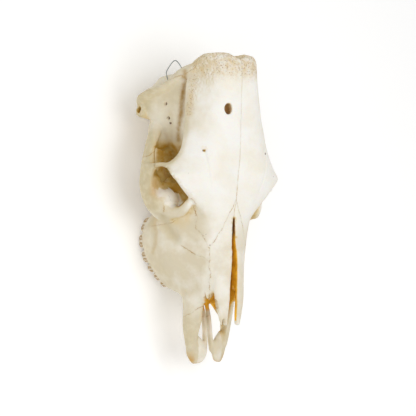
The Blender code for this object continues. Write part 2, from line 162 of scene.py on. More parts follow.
PALATINE = ((262, 20), (324, 20), (324, 66), (262, 66))
OCCIPITAL = (
    (414, -20), (417, 44), (440, 66), (456, 104), (461, 126), (466, 170), (560, 170), (560, -20),
)

# Each cut: its outline, where it is seen from, and how far it reaches the other way.
CUTS = {
    "nasal": (NASAL, "above", 113, 220),
    "incisive": (INCISIVE, "side", HALF_GAP, 90),
    "lacrimal": (LACRIMAL, "above", 94, 220),
    "cheekbone": (CHEEKBONE, "above", 38, 107),
    "frontal": (FRONTAL, "side", HALF_GAP, 150),
    "maxilla": (MAXILLA, "side", HALF_GAP, 100),
    "palatine": (PALATINE, "side", -60, 60),
    "occipital": (OCCIPITAL, "side", -130, 130),
}
# The cuts that can leave dirt along a bone's edges.
SUTURES = {
    "nasal": ("nasal",),
    "incisive": ("incisive",),
    "lacrimal": ("lacrimal", "nasal"),
    "cheekbone": ("cheekbone", "lacrimal"),
    "frontal": ("frontal", "nasal", "lacrimal", "cheekbone"),
    "maxilla": ("maxilla", "frontal", "cheekbone", "lacrimal", "nasal", "incisive"),
    "palatine": ("palatine", "maxilla"),
    "occipital": ("occipital", "frontal"),
    "brain_case": ("frontal", "cheekbone", "maxilla", "palatine", "occipital"),
}

WIRE_RADIUS = 0.9
WIRE_PATH = (
    (-80, 455, 102), (-84, 463, 104), (-87, 472, 108), (-80, 487, 121), (-73, 477, 127), (-68, 468, 124),
    (-64, 460, 122),
)

# Sutures wander as the two bones' edges grow into each other: a slow drift with a jagged finer one on it.
# Each: length of a wave and how far aside it goes, in millimetres.
WANDER = ((12, 1.9), (2.9, 1.1))
WANDER_STEP = 1.2

# Small foramina: x, s, z, radius and depth. Both sides have them.
FORAMINA = (
    (64, 336, 166, 2.0, 3.5), (86, 420, 98, 2.6, 3.5), (80, 397, 97, 2.4, 4.0), (76, 389, 98, 1.8, 3.0),
    (62, 372, 168, 1.2, 1.5), (47, 205, 132, 1.6, 1.5), (43, 188, 134, 2.2, 2.2), (88, 300, 150, 1.3, 1.5),
)
FOREHEAD_Z = 145

# Swells and hollows of the face and muzzle: the line of (x, s, z) each follows, its width and its height.
CHEEK_DIP = ((92, 236, 84), (82, 224, 78), (77, 211, 82), (72, 200, 88))
CHEEK_TROUGH = ((80, 236, 44), (84, 216, 54), (84, 198, 50), (81, 184, 38))
FACE_RELIEF = (
    (CHEEK_DIP, 8, -3.4),
    (((70, 238, 112), (76, 230, 98)), 8, -1.6),
    (CHEEK_TROUGH, 3.6, -1.7),
    (((88, 232, 62), (86, 214, 66), (85, 198, 62)), 5, 1.2),
    (((82, 176, 50), (79, 176, 68)), 14, 1.3),
    (((66, 178, 92), (50, 140, 96)), 10, -0.9),
    (((60, 132, 30), (54, 126, 50)), 5, 0.9),
    (((42, 80, 90), (33, 60, 88), (24, 38, 76)), 7, -1.4),
    (((46, 100, 74), (46, 60, 72), (38, 24, 64)), 5, 0.7),
    (((46, 152, 118), (42, 120, 108)), 5, 0.7),
)

# Lines of (x, s, z) along the temporal crest's porous strip, the groove under it and the orbit's outer wall.
PORE_STRIP = ((56, 480, 152), (66, 450, 148), (72, 418, 146), (74, 400, 144))
CREST_GROOVE = ((72, 466, 136), (69, 439, 125), (71, 407, 120), (71, 388, 114), (66, 362, 101))
CHEEK_HOLLOW = ((109, 291, 92), (111, 276, 90))

# Rays sent up from each point to find how occluded it is, for the painted shade, and how far they look.
RAYS = 26
REACH = 70 * MM

maxilla_low, maxilla_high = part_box("maxilla_left")
ORIGIN = Vector((maxilla_low[0] - HALF_GAP * MM, maxilla_high[1] - (262 - MIDDLE) * MM, -FLOOR * MM))


def place(x, s, z):
    """A table's point in metres, in the row frame."""
    return Vector((x * MM, (s - MIDDLE) * MM, z * MM)) + ORIGIN


def link(name, mesh):
    made = bpy.data.objects.new(name, mesh)
    bpy.context.scene.collection.objects.link(made)
    return made


def spline(rows, steps, closed=False):
    """Rows of numbers on a Catmull-Rom curve, `steps` to each of the table's."""
    rows = np.asarray(rows, float)
    count = len(rows)
    made = []
    for i in range(count if closed else count - 1):
        if closed:
            a, b, c, d = (rows[(i + k) % count] for k in (-1, 0, 1, 2))
        else:
            b, c = rows[i], rows[i + 1]
            a = rows[i - 1] if i else 2 * b - c
            d = rows[i + 2] if i + 2 < count else 2 * c - b
        for t in np.arange(steps) / steps:
            made.append(0.5 * (2 * b + (c - a) * t + (2 * a - 5 * b + 4 * c - d) * t**2
                               + (3 * b - a - 3 * c + d) * t**3))
    if not closed:
        made.append(rows[-1])
    return np.array(made)


def skin(name, rings):
    """A closed mesh over rings of points in table units, with a flat cap at each end."""
    rings = np.asarray(rings, float)
    count, around = rings.shape[:2]
    points = [place(*p) for p in rings.reshape(-1, 3)]
    faces = []
    for i in range(count - 1):
        for j in range(around):
            k = (j + 1) % around
            faces.append((i * around + j, i * around + k, (i + 1) * around + k, (i + 1) * around + j))
    faces.append(tuple(range(around))[::-1])
    faces.append(tuple(range((count - 1) * around, count * around)))
    mesh = bpy.data.meshes.new(name)
    mesh.from_pydata(points, [], faces)
    form = bmesh.new()
    form.from_mesh(mesh)
    bmesh.ops.recalc_face_normals(form, faces=form.faces)
    form.to_mesh(mesh)
    form.free()
    return link(name, mesh)


def half_sections(name, table):
    """A loft along s through a table of half sections, mirrored to whole rings."""
    flat = []
    for row in table:
        s, top, *sides, base = row
        flat.append([s, 0, top, *(v for pair in sides for v in pair), 0, base])
    rings = []
    for row in spline(flat, ROW_STEPS):
        s, half = row[0], row[1:].reshape(-1, 2)
        ring = [(x, s, z) for x, z in half] + [(-x, s, z) for x, z in half[-2:0:-1]]
        rings.append(spline(ring, RING_STEPS, closed=True))
    return skin(name, rings)


def bar(name, stations, up=(0, 0, 1), power=2.0, around=24):
    """A bar along a smooth path. Each station: x, s, z, half width across `up`, half height along it."""
    rows = spline(stations, ROW_STEPS)
    tangents = np.gradient(rows[:, :3], axis=0)
    rings = []
    for (*centre, wide, high), tangent in zip(rows.tolist(), tangents):
        tangent = Vector(tangent).normalized()
        across = tangent.cross(Vector(up)).normalized()
        rise = across.cross(tangent).normalized()
        ring = []
        for k in range(around):
            turn = 2 * math.pi * k / around
            c, d = math.cos(turn), math.sin(turn)
            u = math.copysign(abs(c) ** (2 / power), c) * wide
            v = math.copysign(abs(d) ** (2 / power), d) * high
            ring.append(Vector(centre) + u * across + v * rise)
        rings.append(ring)
    return skin(name, rings)


def egg(name, centre, radii, turn=(0, 0, 0)):
    """An ellipsoid: centre and radii in table units, turn in degrees about x, s and z."""
    mesh = bpy.data.meshes.new(name)
    form = bmesh.new()
    bmesh.ops.create_uvsphere(form, u_segments=48, v_segments=32, radius=1)
    spin = Matrix.Rotation(math.radians(turn[2]), 4, "Z") @ Matrix.Rotation(math.radians(turn[1]), 4, "Y")
    spin = spin @ Matrix.Rotation(math.radians(turn[0]), 4, "X")
    size = Matrix.Diagonal((*(r * MM for r in radii), 1))
    form.transform(Matrix.Translation(place(*centre)) @ spin @ size)
    form.to_mesh(mesh)
    form.free()
    return link(name, mesh)


def on_side(side, stations):
    return [(side * x, *rest) for x, *rest in stations]


def apply_modifiers(thing):
    graph = bpy.context.evaluated_depsgraph_get()
    graph.update()
    mesh = bpy.data.meshes.new_from_object(thing.evaluated_get(graph))
    thing.modifiers.clear()
    thing.data = mesh
    return thing


def fused(name, pieces, pitch):
    """The pieces as one closed surface of even quads."""
    form = bmesh.new()
    for piece in pieces:
        form.from_mesh(piece.data)
        bpy.data.objects.remove(piece)
    mesh = bpy.data.meshes.new(name)
    form.to_mesh(mesh)
    form.free()
    made = link(name, mesh)
    remesh = made.modifiers.new("Remesh", "REMESH")
    remesh.mode = "VOXEL"
    remesh.voxel_size = pitch * MM
    return apply_modifiers(made)


def combine(thing, other, operation):
    cut = thing.modifiers.new("Boolean", "BOOLEAN")
    cut.operation = operation
    cut.solver = "MANIFOLD"
    cut.object = other
    return apply_modifiers(thing)


def smooth(thing, rounds):
    soften = thing.modifiers.new("Smooth", "SMOOTH")
    soften.factor = 0.5
    soften.iterations = rounds
    return apply_modifiers(thing)


def arch_pieces(side):
    """The cheek's arch, the bar behind the eye, the orbit's rim, wall and floor, and the pterygoid crest."""
    return [
        bar("arch", on_side(side, [
            (72, 236, 82, 12, 24), (90, 254, 76, 15, 21), (102, 274, 73, 15, 19), (106.5, 296, 73, 14, 19),
            (108.5, 320, 74, 9, 16), (104.5, 346, 74, 7, 12), (93, 372, 72, 9, 11), (80, 396, 68, 12, 10),
        ]), power=2.4),
        bar("postorbital_bar", on_side(side, [
            (98, 304, 134, 13, 6), (112, 311, 116, 11, 6), (117, 312, 102, 10, 6), (115, 312, 78, 14, 7),
        ]), up=(side, 0, 0)),
        bar("orbit_rim", on_side(side, [
            (70, 262, 136, 5, 5), (74, 251, 124, 8, 8), (77, 243, 110, 10, 11), (86, 247, 93, 11, 12),
            (98, 262, 84, 14, 11), (106, 282, 84, 10, 12), (108, 302, 90, 9, 12),
        ]), up=(side, 0, 0)),
        egg("orbit_wall", (side * 62, 274, 84), (24, 32, 22), (0, 0, -side * 12)),
        egg("orbit_floor", (side * 88, 268, 84), (26, 27, 15)),
        egg("pterygoid_crest", (side * 57, 324, 49), (21, 44, 24)),
    ]


def ear_pieces(side):
    """The temporal crest, ear tube, bulla, jaw joint, neck process and condyle of one side."""
    return [
        bar("temporal_crest", on_side(side, [
            (34, 480, 164, 11, 10), (56, 472, 148, 10, 10), (67, 468, 130, 9, 9), (74, 460, 114, 8, 9),
            (82, 449, 102, 8, 8), (96, 441, 86, 8, 9), (106, 434, 66, 9, 9), (98, 430, 48, 9, 9),
        ])),
        bar("ear_tube", on_side(side, [
            (50, 410, 56, 12, 12), (84, 412, 56, 12, 13), (108, 416, 55, 11, 12),
        ])),
        egg("jaw_joint", (side * 74, 378, 66), (25, 29, 11)),
        egg("bulla", (side * 50, 398, 36), (12, 20, 22), (-14, 0, 0)),
        bar("neck_process", on_side(side, [
            (80, 442, 62, 20, 14), (72, 438, 40, 14, 11), (65, 432, 18, 9, 8), (61, 428, 0, 7, 6),
            (60, 427, -16, 6, 5),
        ]), up=(0, 1, 0)),
        egg("condyle", (side * 27, 462, 50), (17, 20, 25), (18, 0, side * 14)),
        bar("pterygoid", on_side(side, [
            (24, 250, 56, 4, 16), (20, 278, 52, 3.5, 18), (20, 302, 54, 3.5, 14), (24, 326, 58, 5, 8),
        ]), power=3),
        egg("hamulus", (side * 21, 284, 34), (3.5, 6, 10), (20, 0, 0)),
    ]


def muzzle_pieces(side):
    """The incisive bone's plate, wing and palatine process, the palate's shelf and the nasal's free blade."""
    return [
        bar("incisive_plate", on_side(side, [
            (18.5, 0, 63, 8, 4.5), (20.5, 6, 64, 14, 6), (22.5, 18, 65, 18, 7.5), (26, 32, 65, 15.5, 8),
            (35, 48, 66, 8, 8),
        ]), up=(side * 0.45, 0, 1)),
        bar("incisive_wing", on_side(side, [
            (33, 26, 65, 6, 8), (36, 48, 71, 6, 14), (38, 70, 77.5, 5.5, 17), (38.5, 90, 83.5, 6, 17),
            (37, 114, 89, 6.5, 18),
        ]), up=(-side * 0.75, 0, 1)),
        bar("palate_shelf", on_side(side, [
            (34, 30, 61, 8, 5), (38, 50, 62, 6, 5), (38, 72, 61, 6, 5), (32, 90, 60, 11, 5),
            (24, 112, 57, 16, 5),
        ])),
        bar("palatine_process", on_side(side, [
            (8.5, 17, 66, 5, 5), (5.5, 40, 67, 3.8, 6), (5, 90, 65, 3.8, 6.5), (6, 132, 58, 5, 5),
        ])),
        bar("nasal_blade", on_side(side, [
            (16, 180, 141, 16, 6.5), (17, 150, 138, 16, 6.5), (18, 124, 135, 14.5, 6),
            (17.5, 98, 133, 12.5, 5.5), (15.5, 78, 131, 9.5, 5), (13.5, 58, 129, 6, 4),
        ]), up=(side * 0.6, 0, 1), power=2.2),
    ]


def body_pieces():
    """All that is fused before the hollows are taken out."""
    pieces = [
        half_sections("forehead", FOREHEAD),
        half_sections("face", FACE),
        half_sections("brain_case", BRAIN_CASE),
        bar("nape", [
            (0, 478, 166, 36, 9), (0, 474, 146, 56, 12), (0, 466, 118, 68, 13), (0, 456, 88, 80, 12),
            (0, 450, 58, 76, 10),
        ], up=(0, 1, 0), power=2.4),
        bar("skull_base", [
            (0, 458, 46, 22, 8), (0, 430, 48, 17, 8), (0, 390, 50, 15, 9), (0, 340, 58, 13, 10),
            (0, 300, 66, 10, 12),
        ]),
    ]
    for side in SIDES.values():
        pieces += arch_pieces(side) + ear_pieces(side) + muzzle_pieces(side)
    return pieces


def hollow_pieces():
    """What is taken out: orbits, nose, choanae, temporal fossae, ear holes and the larger foramina."""
    pieces = [
        bar("nasal_cavity", [
            (0, 60, 98, 18, 26), (0, 80, 97, 22, 28), (0, 96, 96, 28, 31), (0, 112, 96, 29, 31),
            (0, 140, 97, 34, 32), (0, 170, 98, 40, 35), (0, 210, 100, 42, 38), (0, 240, 106, 32, 32),
            (0, 262, 110, 14, 16),
        ], power=2.6, around=36),
        bar("choana", [
            (0, 236, 62, 14, 10), (0, 262, 56, 16, 15), (0, 290, 48, 16, 18), (0, 318, 38, 17, 14),
        ], power=2.6),
        bar("great_hole", [
            (0, 410, 76, 13, 12), (0, 440, 68, 18, 16), (0, 490, 60, 20, 18),
        ], around=36),
        bar("internasal_gap", [
            (0, 252, 150, 0.8, 20), (0, 215, 146, 1.6, 24), (0, 175, 144, 4, 24), (0, 140, 140, 5.5, 24),
            (0, 100, 136, 6.5, 24), (0, 50, 130, 9, 24),
        ], power=6),
        bar("forehead_hole", [(-24, 402, 206, 7, 9.5), (-24, 402, 168, 6, 8.5)], up=(0, 1, 0)),
        bar("nasal_notch", [
            (-15, 46, 130, 2.3, 14), (-15.5, 60, 130, 2.0, 14), (-16.5, 72, 131, 1.0, 14),
        ], power=3),
        egg("poll_dip", (0, 502, 182), (16, 19, 24)),
    ]
    for side in SIDES.values():
        pieces += [
            egg("orbit", (side * 106, 283, 115), (50, 31, 25), (-16, -side * 8, side * 18)),
            egg("orbit_back", (side * 74, 320, 106), (34, 33, 24), (0, 0, side * 10)),
            bar("temporal_fossa", on_side(side, [
                (88, 318, 118, 14, 18), (84, 346, 108, 16, 22), (84, 372, 114, 14, 16), (76, 396, 124, 9, 9),
                (70, 430, 128, 6, 6), (64, 456, 132, 4, 4),
            ])),
            bar("ear_hole", on_side(side, [(90, 414, 54, 4, 4), (120, 418, 52, 7, 8)])),
            egg("infraorbital_hole", (side * 58, 166, 56), (8, 12, 5)),
        ]
    return pieces


def tear_bullae():
    """The thin bony bubble on the floor of each orbit, set in once the orbits are hollowed."""
    return [egg("tear_bulla", (side * 83, 264, 80), (26, 24, 23)) for side in SIDES.values()]


def block(name, centre, size):
    mesh = bpy.data.meshes.new(name)
    form = bmesh.new()
    bmesh.ops.create_cube(form, size=1)
    form.transform(Matrix.Translation(place(*centre)) @ Matrix.Diagonal((*(v * MM for v in size), 1)))
    form.to_mesh(mesh)
    form.free()
    return link(name, mesh)


def wander(a, b):
    """How far a suture is moved aside, both ways, at this point of its outline."""
    return [
        sum(aside * noise.noise((a / wave, b / wave, seed)) for wave, aside in WANDER)
        for seed in (7.3, 19.1)
    ]


def wandering(outline, side, seen_from):
    """The outline in short steps that wander. Edges far outside the bone and on the midline stay straight."""
    made = []
    for (a, b), (c, d) in zip(outline, outline[1:] + outline[:1]):
        steps = max(1, round(math.hypot(c - a, d - b) / WANDER_STEP))
        straight = abs(a - c) < 0.1 and a < 1 and seen_from == "above"
        for k in range(1 if straight else steps):
            u, v = a + (c - a) * k / steps, b + (d - b) * k / steps
            if straight or (seen_from == "above" and u < 1):
                made.append((u, v))
                continue
            first, second = wander(side * u if seen_from == "above" else u, v)
            made.append((u + (side * first if seen_from == "above" else first), v + second))
    return made


def grown(outline, by):
    """A polygon with every edge moved outward."""
    points = [Vector(p) for p in outline]
    area = sum(a.x * b.y - b.x * a.y for a, b in zip(points, points[1:] + points[:1]))
    turn = 1 if area > 0 else -1
    made = []
    for before, here, after in zip(points[-1:] + points[:-1], points, points[1:] + points[:1]):
        first = (here - before).normalized()
        second = (after - here).normalized()
        out_first = Vector((first.y, -first.x)) * turn
        out_second = Vector((second.y, -second.x)) * turn
        middle = (out_first + out_second).normalized()
        made.append(here + middle * by / max(0.5, middle.dot(out_first)))
    return [tuple(p) for p in made]


def prism(name, outline, seen_from, low, high, side):
    rings = []
    for level in (low, high):
        if seen_from == "above":
            rings.append([(side * x, s, level) for x, s in outline])
        else:
            rings.append([(side * level, s, z) for s, z in outline])
    return skin(name, rings)


def keep_largest(thing):
    """The object keeps only its largest closed surface."""
    count = len(thing.data.vertices)
    edges = np.empty(len(thing.data.edges) * 2, np.int64)
    thing.data.edges.foreach_get("vertices", edges)
    a, b = edges.reshape(-1, 2).T
    group = np.arange(count)
    while True:
        low = np.minimum(group[a], group[b])
        before = group.copy()
        np.minimum.at(group, a, low)
        np.minimum.at(group, b, low)
        group = group[group]
        if (group == before).all():
            break
    names, sizes = np.unique(group, return_counts=True)
    if len(names) > 1:
        spare = np.flatnonzero(group != names[sizes.argmax()])
        form = bmesh.new()
        form.from_mesh(thing.data)
        form.verts.ensure_lookup_table()
        bmesh.ops.delete(form, geom=[form.verts[i] for i in spare.tolist()], context="VERTS")
        form.to_mesh(thing.data)
        form.free()
    return thing


def part_off(rest, name, cut, side):
    """Parts a bone off the rest, with a thin gap left round it."""
    outline, seen_from, low, high = CUTS[cut]
    outline = wandering(outline, side, seen_from)
    cutter = prism("cutter", outline, seen_from, low, high, side)
    wider = prism("wider", grown(outline, SEAM), seen_from, low - SEAM, high + SEAM, side)
    bone = combine(link(name, rest.data.copy()), cutter, "INTERSECT")
    combine(rest, wider, "DIFFERENCE")
    bpy.data.objects.remove(cutter)
    bpy.data.objects.remove(wider)
    keep_largest(rest)
    return keep_largest(bone)


def table_points(mesh):
    """The mesh's points in table units, and their normals."""
    count = len(mesh.vertices)
    points = np.empty(count * 3)
    mesh.vertices.foreach_get("co", points)
    points = (points.reshape(-1, 3) - np.array(ORIGIN)) / MM
    points[:, 1] += MIDDLE
    normals = np.empty(count * 3)
    mesh.vertex_normals.foreach_get("vector", normals)
    return points, normals.reshape(-1, 3)


def speckle(points, size, shift=0.0):
    """Smooth noise from about -1 to 1, with lumps of this size in millimetres."""
    return np.array([noise.noise((x, y, z)) for x, y, z in (points / size + shift).tolist()])


def step(value, low, high):
    """0 below low, 1 above high and smooth between."""
    t = np.clip((value - low) / (high - low), 0, 1)
    return t * t * (3 - 2 * t)


def dimples(points, centre, radius):
    """1 at the centre of a round dimple, 0 outside it."""
    away = np.linalg.norm(points - np.array(centre, float), axis=1)
    return np.exp(-((away / radius) ** 4))


def near_line(points, stations):
    """Distance in millimetres to a line through stations of (x, s, z)."""
    line = np.asarray(stations, float)
    best = np.full(len(points), 1e3)
    for a, b in zip(line[:-1], line[1:]):
        way = b - a
        t = np.clip((points - a) @ way / (way @ way), 0, 1)
        best = np.minimum(best, np.linalg.norm(points - a - t[:, None] * way, axis=1))
    return best


def weather(thing):
    """Moves the surface by what growth and age leave on it: swells, vessel grooves, pores and foramina."""
    points, normals = table_points(thing.data)
    mirrored = points.copy()
    mirrored[:, 0] = abs(mirrored[:, 0])
    lift = 0.45 * speckle(points, 26) + 0.16 * speckle(points, 8, 5)
    poll = np.clip((points[:, 1] - 425) / 40, 0, 1) * (points[:, 2] > 150)
    strip = np.exp(-((near_line(mirrored, [(58, 478, 150), (66, 450, 150), (72, 418, 148)]) / 9) ** 2))
    porous = np.clip(poll + strip, 0, 1)
    lift -= porous * 0.75 * np.clip(speckle(points, 2.9, 11) + 0.1, 0, 1)
    for x, s, z, radius, depth in FORAMINA:
        lift -= depth * dimples(mirrored, (x, s, z), radius)
    vessel = near_line(mirrored, [(64, 334, 166), (60, 312, 169), (55, 290, 165), (50, 270, 161)])
    lift -= 0.9 * np.exp(-((vessel / 2.6) ** 2))
    for line, width, height in FACE_RELIEF:
        lift += height * np.exp(-((near_line(mirrored, line) / width) ** 2))
    brow = near_line(mirrored, [(80, 268, 145), (98, 284, 142), (111, 298, 138), (113, 310, 128)])
    lift += np.exp(-((brow / 4) ** 2)) * 1.1 * speckle(points, 4.2, 23)
    lift *= np.clip((points[:, 2] - FLOOR) / 12, 0, 1)
    moved = points + normals * lift[:, None]
    moved[:, 1] -= MIDDLE
    moved = np.clip(moved * MM + np.array(ORIGIN), cad_box[0], cad_box[1])
    thing.data.vertices.foreach_set("co", moved.ravel())
    thing.data.update()
    return thing


def occlusion_shade(thing):
    """How occluded each part of the surface is: 0 in the open, 1 in a deep hollow, as a lookup tree.

    It drives the painted shade.
    """
    coarse = link("coarse", thing.data.copy())
    thin = coarse.modifiers.new("Decimate", "DECIMATE")
    thin.ratio = 0.05
    apply_modifiers(coarse)
    mesh = coarse.data
    tree = BVHTree.FromPolygons([v.co for v in mesh.vertices], [tuple(p.vertices) for p in mesh.polygons])
    golden = math.pi * (3 - math.sqrt(5))
    sky = []
    for k in range(RAYS):
        rise = math.sqrt((k + 0.5) / RAYS)
        flat = math.sqrt(1 - rise * rise)
        sky.append(Vector((flat * math.cos(k * golden), flat * math.sin(k * golden), rise)))
    lookup = KDTree(len(mesh.vertices))
    values = []
    for vertex in mesh.vertices:
        turn = vertex.normal.to_track_quat("Z", "Y")
        start = vertex.co + vertex.normal * 0.6 * MM
        hits = 0.0
        for ray in sky:
            away = tree.ray_cast(start, turn @ ray, REACH)[3]
            if away is not None:
                hits += 1 - 0.5 * away / REACH
        values.append(hits / RAYS)
        lookup.insert(vertex.co, len(values) - 1)
    lookup.balance()
    bpy.data.objects.remove(coarse)
    return lookup, values


def sheltered(mesh, lookup, values):
    """The lookup's value at each of the mesh's points, blended from the three nearest."""
    found = []
    for vertex in mesh.vertices:
        total = weight = 0.0
        for _, index, away in lookup.find_n(vertex.co, 3):
            share = 1 / (away + 0.3 * MM)
            total += share * values[index]
            weight += share
        found.append(total / weight)
    return np.array(found)


def suture_distance(points, cuts):
    """Distance in millimetres to the nearest of these sutures, which wander as their cuts do."""
    best = np.full(len(points), 60.0)
    moved = {}
    for seen_from in {CUTS[cut][1] for cut in cuts}:
        a = points[:, 0] if seen_from == "above" else points[:, 1]
        b = points[:, 1] if seen_from == "above" else points[:, 2]
        shift = np.array([wander(u, v) for u, v in zip(a.tolist(), b.tolist())])
        a, b = a - shift[:, 0], b - shift[:, 1]
        moved[seen_from] = (abs(a) if seen_from == "above" else a, b)
    for cut in cuts:
        outline, seen_from, low, high = CUTS[cut]
        a, b = moved[seen_from]
        reach = np.full(len(points), 60.0)
        for (u, v), (p, q) in zip(outline, outline[1:] + outline[:1]):
            if seen_from == "above" and u < 1 and p < 1:
                continue
            if seen_from == "side" and min(u, p) < 0 and min(v, q) < 20:
                continue
            way_a, way_b = p - u, q - v
            t = np.clip(((a - u) * way_a + (b - v) * way_b) / (way_a**2 + way_b**2), 0, 1)
            reach = np.minimum(reach, np.hypot(a - u - t * way_a, b - v - t * way_b))
        if seen_from == "above":
            reach = reach + np.clip(low - points[:, 2], 0, 60) + np.clip(points[:, 2] - high, 0, 60)
        best = np.minimum(best, reach)
    return best


def inside_of(points, mirrored, normals, hollow):
    """1 on the walls that face the nose passage, the gap between the nasals and the forehead's hole: painted
    glow.
    """
    x, s, z = mirrored.T
    nose_axis = np.interp(s, [60, 140, 210, 262], [98, 97, 100, 110])
    inward = np.stack([-points[:, 0], np.zeros(len(s)), nose_axis - z], 1)
    inward /= np.linalg.norm(inward, axis=1)[:, None] + 1e-6
    in_nose = ((inward * normals).sum(1) > 0.1) * step(hollow, 0.18, 0.3) * step(s, 82, 90)
    in_nose = in_nose * (x < 46) * (s < 268) * (z > 58)
    in_gap = (x < 9) * step(abs(normals[:, 0]), 0.6, 0.85) * (z > 116) * (s > 66) * (s < 252)
    in_hole = step(hollow, 0.25, 0.45) * (np.hypot(points[:, 0] + 24, s - 402) < 12) * (z > 158)
    return np.clip(in_nose + in_gap + 0.8 * in_hole, 0, 1)


def bulla_painted_light(mirrored, up, hollow):
    """1 on the tear bulla in the orbit's floor where it faces up, pale up to a ragged edge.

    There it gets painted top light and is kept out of the painted shade.
    """
    x, s, z = mirrored.T
    ragged = s + 0.55 * np.clip(84 - x, 0, 20) + 1.6 * np.sin(x / 2.3) + 1.1 * np.sin(z / 1.7 + x / 1.1)
    bulla_light = step(x, 61, 68) * (1 - step(ragged, 281, 284)) * step(s, 246, 252) * (1 - step(z, 104, 112))
    return bulla_light * step(up, 0.1, 0.4) * step(hollow, 0.08, 0.22)


def foramen_depth(mirrored):
    """1 down in each foramen, where painted shade goes. Those of the forehead go down from it, and the others
    go in from the side.
    """
    pit = np.zeros(len(mirrored))
    for *centre, radius, _ in FORAMINA:
        along = np.array((1, 1, 0.3) if centre[2] > FOREHEAD_Z else (0.3, 1, 1))
        inner = dimples(mirrored * along, centre * along, 0.85 * radius)
        pit = np.maximum(pit, step(inner, 0.05, 0.5))
    return pit


def add_fields(thing, cuts, midline, lookup, values):
    """Stores on the bone's points what its colour depends on."""
    mesh = thing.data
    points, normals = table_points(mesh)
    seam = suture_distance(points, cuts)
    if midline:
        grown_over = 0.35 * step(points[:, 1], 290, 350)
        seam = np.minimum(seam, abs(points[:, 0]) + grown_over + 60 * (points[:, 2] < 100))
    mirrored = points.copy()
    mirrored[:, 0] = abs(mirrored[:, 0])
    x, s, z = mirrored.T
    up = normals[:, 2]
    hollow = sheltered(mesh, lookup, values)
    inside = inside_of(points, mirrored, normals, hollow)
    bulla_light = bulla_painted_light(mirrored, up, hollow)
    open_wall = step(s, 352, 368) * step(z, 60, 75)
    front = (1 - step(s, 84, 100)) * (x < 24)

    # Faces turned up, the forehead most, are painted whiter: a painted top light. Handling and fat tan the
    # sides and the muzzle, and the tan on the sides and low on the maxilla is also painted side shade.
    painted_top_light = step(up, 0.45, 0.85) * step(z, 118, 142) * (0.3 + 0.7 * step(s, 170, 250))
    tan_and_side_shade = 0.15 + step(x, 92, 112) + 0.3 * step(s, 300, 330) + 0.6 * step(-s, -110, -60)
    tan_and_side_shade = np.clip(tan_and_side_shade + 0.25 * step(-z, -70, -48) * (s < 262), 0, 1)
    # Painted deep shade: the deepest hollows behind the face are painted olive.
    deep = step(hollow, 0.26, 0.42) * step(s, 250, 262) * step(x, 28, 40)

    # Distances to the lines where the bone is rough, and where painted shade goes: the groove and cheek
    # hollows.
    strip, groove, cheek, dip_shade, trough = (
        near_line(mirrored, line) for line in (PORE_STRIP, CREST_GROOVE, CHEEK_HOLLOW, CHEEK_DIP, CHEEK_TROUGH)
    )
    fields = {
        "pit": foramen_depth(mirrored),
        # Painted shade from occlusion, lifted off the bulla, the open temporal wall and the muzzle's front.
        "occlusion_shade": hollow * (1 - 0.95 * bulla_light) * (1 - 0.75 * open_wall) * (1 - 0.85 * front),
        # Painted deep shade, olive.
        "deep": deep * (1 - bulla_light) * (1 - open_wall),
        # Painted shade in the cheek's hollow and trough, and in its dip.
        "cheek": np.clip(np.exp(-((cheek / 7) ** 2)) + 0.45 * np.exp(-((trough / 4) ** 2)), 0, 1),
        "dip_shade": np.exp(-((dip_shade / 9) ** 2)),
        "seam": seam + 4 * bulla_light,
        # Painted glow on the walls inside the nose, with painted shade deeper in.
        "inside": inside,
        "dark_inside": inside * step(s, 192, 214),
        # Painted top light on faces turned up and on the bulla. The tan is partly painted side shade.
        "painted_top_light": np.clip(painted_top_light + 0.8 * bulla_light, 0, 1),
        "tan": (1 - painted_top_light) * (1 - bulla_light) * (1 - 0.8 * front) * tan_and_side_shade,
        "poll": np.clip(step(s, 440, 470) * step(z, 140, 160) + np.exp(-((strip / 7) ** 2)), 0, 1),
        "muzzle": step(-s, -26, -4) * step(-z, -72, -62),
        # Painted shade in the groove under the temporal crest.
        "groove": np.exp(-((groove / 4.5) ** 2)),
    }
    for name, field in fields.items():
        layer = mesh.attributes.new(name, "FLOAT", "POINT")
        layer.data.foreach_set("value", np.ascontiguousarray(field, np.float32))
    mesh.shade_smooth()
    return thing


def srgb(code):
    """A hex colour turned to linear."""
    values = [int(code[i : i + 2], 16) / 255 for i in (1, 3, 5)]
    return (*(v / 12.92 if v <= 0.04045 else ((v + 0.055) / 1.055) ** 2.4 for v in values), 1.0)


def feed(tree, node, inputs):
    """Sets each named input to its value, or links it where the value is another node's output."""
    for name, value in inputs.items():
        if isinstance(value, bpy.types.NodeSocket):
            tree.links.new(value, node.inputs[name])
        else:
            node.inputs[name].default_value = value


def add_node(tree, kind, inputs=None, out=0, stops=(), **settings):
    """Adds a node with its settings and links, and gives one of its outputs.

    Stops are a ramp's two ends, each its place and how white it is there.
    """
    node = tree.nodes.new(kind)
    for name, value in settings.items():
        setattr(node, name, value)
    feed(tree, node, inputs or {})
    for k, (place_at, white) in enumerate(stops):
        node.color_ramp.elements[k].position = place_at
        node.color_ramp.elements[k].color = (white, white, white, 1.0)
    return node.outputs[out]


def new_material(name):
    """A material with its tree, its shader, and the place on the piece in metres."""
    made = bpy.data.materials.new(name)
    made.use_nodes = True
    tree = made.node_tree
    return made, tree, tree.nodes["Principled BSDF"], add_node(tree, "ShaderNodeTexCoord", out="Object")


# Lumps in the bone: size in millimetres, detail, roughness, and how they're squeezed along the skull.
BONE_LUMPS = {
    "cloud": (46, 4, 0.55, 1),
    "patch": (11, 5, 0.55, 1),
    "blotch": (9, 5, 0.65, 1),
    "break": (11, 4, 0.6, 1),
    "pore": (2.2, 2, 0.5, 1),
    "grain": (1.6, 3, 0.6, 1),
    "fibre": (1.4, 3, 0.6, 0.14),
    "speck": (1.3, 2, 0.55, 1),
}

